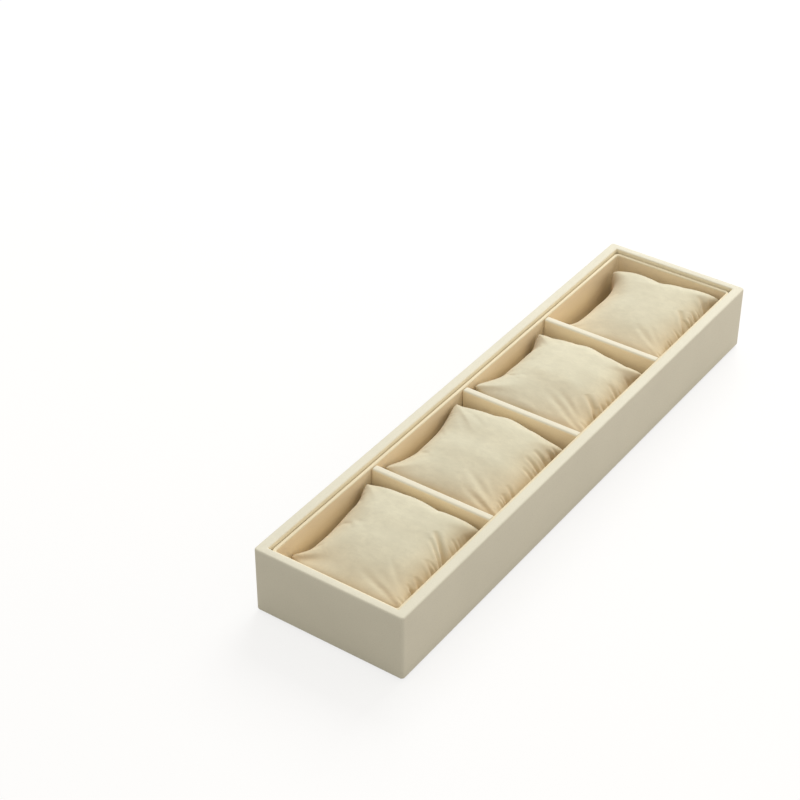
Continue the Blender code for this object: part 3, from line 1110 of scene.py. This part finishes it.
class TRAY_OT_make_stage(bpy.types.Operator):
    """Set up the camera, the lamps, the white surroundings and the floor"""

    bl_idname = "tray.make_stage"
    bl_label = "Make stage"

    def execute(self, context):
        stage = context.scene.tray_stage
        add_camera()
        add_world(stage.sky_colour, stage.sky)
        add_lamp("key lamp", KEY_PLACE, stage.key_size, stage.key, WHITE[:3])
        add_lamp("fill lamp", FILL_PLACE, stage.key_size, stage.fill, stage.fill_colour)
        mesh = bpy.data.meshes.new("floor")
        work = bmesh.new()
        bmesh.ops.create_grid(work, x_segments=2, y_segments=2, size=stage.floor_size / 2)
        work.to_mesh(mesh)
        work.free()
        mesh.materials.append(floor_material())
        mesh.transform(Matrix.Translation((0, 0, -0.1 * MM)))
        link(bpy.data.objects.new("floor", mesh))
        context.scene.view_settings.view_transform = "Standard"
        return {"FINISHED"}


class TRAY_OT_wrap_walls(bpy.types.Operator):
    """Fold the leatherette over the outside, the rim and the inside of the walls"""

    bl_idname = "tray.wrap_walls"
    bl_label = "Wrap walls"

    def execute(self, context):
        wrap = context.scene.tray_wrap
        levels = WRAP_LOW.z, WRAP_HIGH.z, WRAP_HIGH.z - wrap.tuck
        sheet = add_folded_sheet(
            "wall_wrap",
            fold_line(*levels, wrap.rim_radius, wrap.foot_radius, wrap.turn_in),
            half=WRAP_HIGH.xy,
            wall=Vector((END_WALL, LONG_WALL)),
            radii=(wrap.corner_radius, GAP),
            material=wrap_leatherette(wrap),
            slack=0.05 * MM,
        )
        thicken(sheet, wrap.thickness)
        belongs(sheet, "leatherette", "outer_wrap")
        return {"FINISHED"}


class TRAY_OT_line_walls(bpy.types.Operator):
    """Fold the liner's leatherette round the inside of the walls, a step below the rim"""

    bl_idname = "tray.line_walls"
    bl_label = "Line walls"

    def execute(self, context):
        wrap = context.scene.tray_wrap
        sheet = add_folded_sheet(
            "liner",
            fold_line(LINER_LOW.z, LINER_HIGH.z, LINER_LOW.z, wrap.liner_edge, foot_radius=0, turn_in=0),
            half=LINER_HIGH.xy,
            wall=Vector((LINER_THICK, LINER_THICK)),
            radii=(wrap.liner_corner + LINER_THICK, wrap.liner_corner),
            material=liner_leatherette(wrap),
            slack=0.0,
        )
        thicken(sheet, wrap.thin)
        belongs(sheet, "leatherette", "liner_cover")
        return {"FINISHED"}


class TRAY_OT_cap_dividers(bpy.types.Operator):
    """Cap the three dividers with leatherette, round on top and folded at the ends"""

    bl_idname = "tray.cap_dividers"
    bl_label = "Cap dividers"

    def execute(self, context):
        wrap = context.scene.tray_wrap
        material = divider_leatherette(wrap)
        for number, node in enumerate(DIVIDERS, 1):
            low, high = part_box(node)
            cap = add_divider_cap(f"divider_cap_{number}", low, high, wrap)
            cap.data.materials.append(material)
            thicken(cap, wrap.thin)
            belongs(cap, "leatherette", node)
        return {"FINISHED"}


class TRAY_OT_stuff_pillows(bpy.types.Operator):
    """Sew the four suede pillows, swell them between their walls and crease them along their seams"""

    bl_idname = "tray.stuff_pillows"
    bl_label = "Stuff pillows"

    def execute(self, context):
        settings = context.scene.tray_pillows
        # Where the suede paints warm shade and bounce light: from 3 mm below the pillows' top, growing over
        # 13 mm
        inside = {"Height": PILLOW_HIGH.z - 3 * MM, "Fade": 13 * MM}
        colours = settings.colour, settings.painted_bounce_colour
        material = suede("pillow suede", *colours, inside, fibres=2600.0, tufts=300.0, depth=0.14 * MM)
        for number in range(len(PILLOWS)):
            add_pillow(number, material, settings)
        return {"FINISHED"}


class TRAY_OT_finish_boards(bpy.types.Operator):
    """Give the boards, the cards, the floor lining and the base sheet their finishes"""

    bl_idname = "tray.finish_boards"
    bl_label = "Finish boards"

    def execute(self, context):
        board, card = (0.45, 0.33, 0.22), (0.40, 0.38, 0.35)
        lining, felt = (0.78, 0.66, 0.46), (0.70, 0.64, 0.52)
        finishes = {
            "fibreboard": pressed_board("fibreboard", board, chips=500.0),
            "card": pressed_board("grey card", card, chips=900.0),
            "floor_lining": suede(
                "floor lining", lining, lining, {}, fibres=2200.0, tufts=240.0, depth=0.1 * MM
            ),
            "base_felt": suede("base felt", felt, felt, {}, fibres=1500.0, tufts=300.0, depth=0.2 * MM),
        }
        for part in frame["record"]["subparts"]:
            material = finishes.get(part["material_slot"])
            if material is None:
                continue
            mesh = frame["nodes"][part["node"]].data
            mesh.materials.clear()
            mesh.materials.append(material)
        return {"FINISHED"}


def add_divider_cap(name, low, high, wrap):
    """A box without a floor, with a round top and softly folded ends."""
    size = high - low
    work = box_of(size)
    work.normal_update()
    floor = [face for face in work.faces if face.normal.z < -0.5]
    bmesh.ops.delete(work, geom=floor, context="FACES_ONLY")
    top, end = size.z / 2 - GAP, size.y / 2 - GAP

    def along_y(edge):
        first, second = (vert.co for vert in edge.verts)
        return abs(first.y - second.y) > size.y / 2

    def round_off(edges, radius, segments):
        bmesh.ops.bevel(work, geom=edges, offset=radius, segments=segments, profile=0.5, affect="EDGES")

    ridge = [e for e in work.edges if along_y(e) and all(v.co.z > top for v in e.verts)]
    round_off(ridge, wrap.divider_top, 10)
    folds = [e for e in work.edges if all(abs(v.co.y) > end for v in e.verts) and len(e.link_faces) == 2]
    folds = [e for e in folds if e.verts[0].co.y * e.verts[1].co.y > 0]
    round_off(folds, wrap.divider_end, 5)
    return put_down(name, work, (low + high) / 2)


# The camera that the tray is seen from: its place, the way that it looks and its lens
CAMERA_PLACE = Vector((-0.8161, -0.4826, 0.7348))
CAMERA_LOOK = Vector((0.6632, 0.4646, -0.5868))
CAMERA_UP = Vector((0.4806, 0.3367, 0.8097))
CAMERA_SENSOR = 36.0
CAMERA_LENS = 87.525


def facing(look, up):
    """The rotation of something that looks along its own -Z."""
    right = look.cross(up).normalized()
    return Matrix((right, right.cross(look).normalized(), -look.normalized())).transposed().to_4x4()


def add_camera():
    data = bpy.data.cameras.new("camera")
    data.sensor_width = CAMERA_SENSOR
    data.lens = CAMERA_LENS
    data.clip_start = 0.01
    camera = link(bpy.data.objects.new("camera", data))
    camera.matrix_world = Matrix.Translation(CAMERA_PLACE) @ facing(CAMERA_LOOK, CAMERA_UP)
    bpy.context.scene.camera = camera


def add_lamp(name, place, size, power, colour):
    """A square lamp that shines on the tray's middle."""
    data = bpy.data.lights.new(name, "AREA")
    data.shape = "SQUARE"
    data.size = size
    data.energy = power
    data.color = colour
    lamp = link(bpy.data.objects.new(name, data))
    look = -Vector(place).normalized()
    lamp.matrix_world = Matrix.Translation(place) @ facing(look, Vector((0.01, 1, 0.02)).normalized())


def add_world(colour, strength):
    """Even light from all round, behind a ground that is plain white to the camera and in reflections."""
    world = bpy.data.worlds.new("white studio")
    world.use_nodes = True
    tree = world.node_tree
    sky = tree.nodes["Background"]
    feed(tree, sky, {"Color": (*colour, 1.0), "Strength": strength})
    ground = add_node(tree, "ShaderNodeBackground", {"Color": WHITE, "Strength": 1.0})
    ray = add_node(tree, "ShaderNodeLightPath")
    seen = Number(tree, ray.outputs["Is Camera Ray"])
    for kind in ("Is Glossy Ray", "Is Transmission Ray"):
        seen = seen.math("MAXIMUM", Number(tree, ray.outputs[kind]))
    mix = add_node(tree, "ShaderNodeMixShader", {0: seen, 1: sky.outputs[0], 2: ground.outputs[0]})
    feed(tree, tree.nodes["World Output"], {"Surface": mix.outputs[0]})
    bpy.context.scene.world = world


OPERATORS = (
    TRAY_OT_make_stage,
    TRAY_OT_wrap_walls,
    TRAY_OT_line_walls,
    TRAY_OT_cap_dividers,
    TRAY_OT_stuff_pillows,
    TRAY_OT_finish_boards,
)


class TRAY_PT_panel(bpy.types.Panel):
    """Buttons for each piece of the tray, and its sizes and colours"""

    bl_idname = "TRAY_PT_panel"
    bl_label = "Jewelry display tray"
    bl_space_type = "VIEW_3D"
    bl_region_type = "UI"
    bl_category = "Display tray"

    def draw(self, context):
        for operator in OPERATORS:
            self.layout.operator(operator.bl_idname)
        scene = context.scene
        groups = {"Leatherette": scene.tray_wrap, "Pillows": scene.tray_pillows, "Stage": scene.tray_stage}
        for title, group in groups.items():
            box = self.layout.box()
            box.label(text=title)
            for name in group.__annotations__:
                box.prop(group, name)


SETTINGS = {
    "tray_wrap": TrayWrapSettings,
    "tray_pillows": TrayPillowSettings,
    "tray_stage": TrayStageSettings,
}


def register():
    for cls in (*SETTINGS.values(), *OPERATORS, TRAY_PT_panel):
        bpy.utils.register_class(cls)
    for name, cls in SETTINGS.items():
        setattr(bpy.types.Scene, name, bpy.props.PointerProperty(type=cls))


def unregister():
    for name in SETTINGS:
        delattr(bpy.types.Scene, name)
    for cls in reversed((*SETTINGS.values(), *OPERATORS, TRAY_PT_panel)):
        bpy.utils.unregister_class(cls)


def main():
    register()
    bpy.ops.tray.make_stage()
    bpy.ops.tray.wrap_walls()
    bpy.ops.tray.line_walls()
    bpy.ops.tray.cap_dividers()
    bpy.ops.tray.stuff_pillows()
    bpy.ops.tray.finish_boards()


if __name__ == "__main__":
    main()
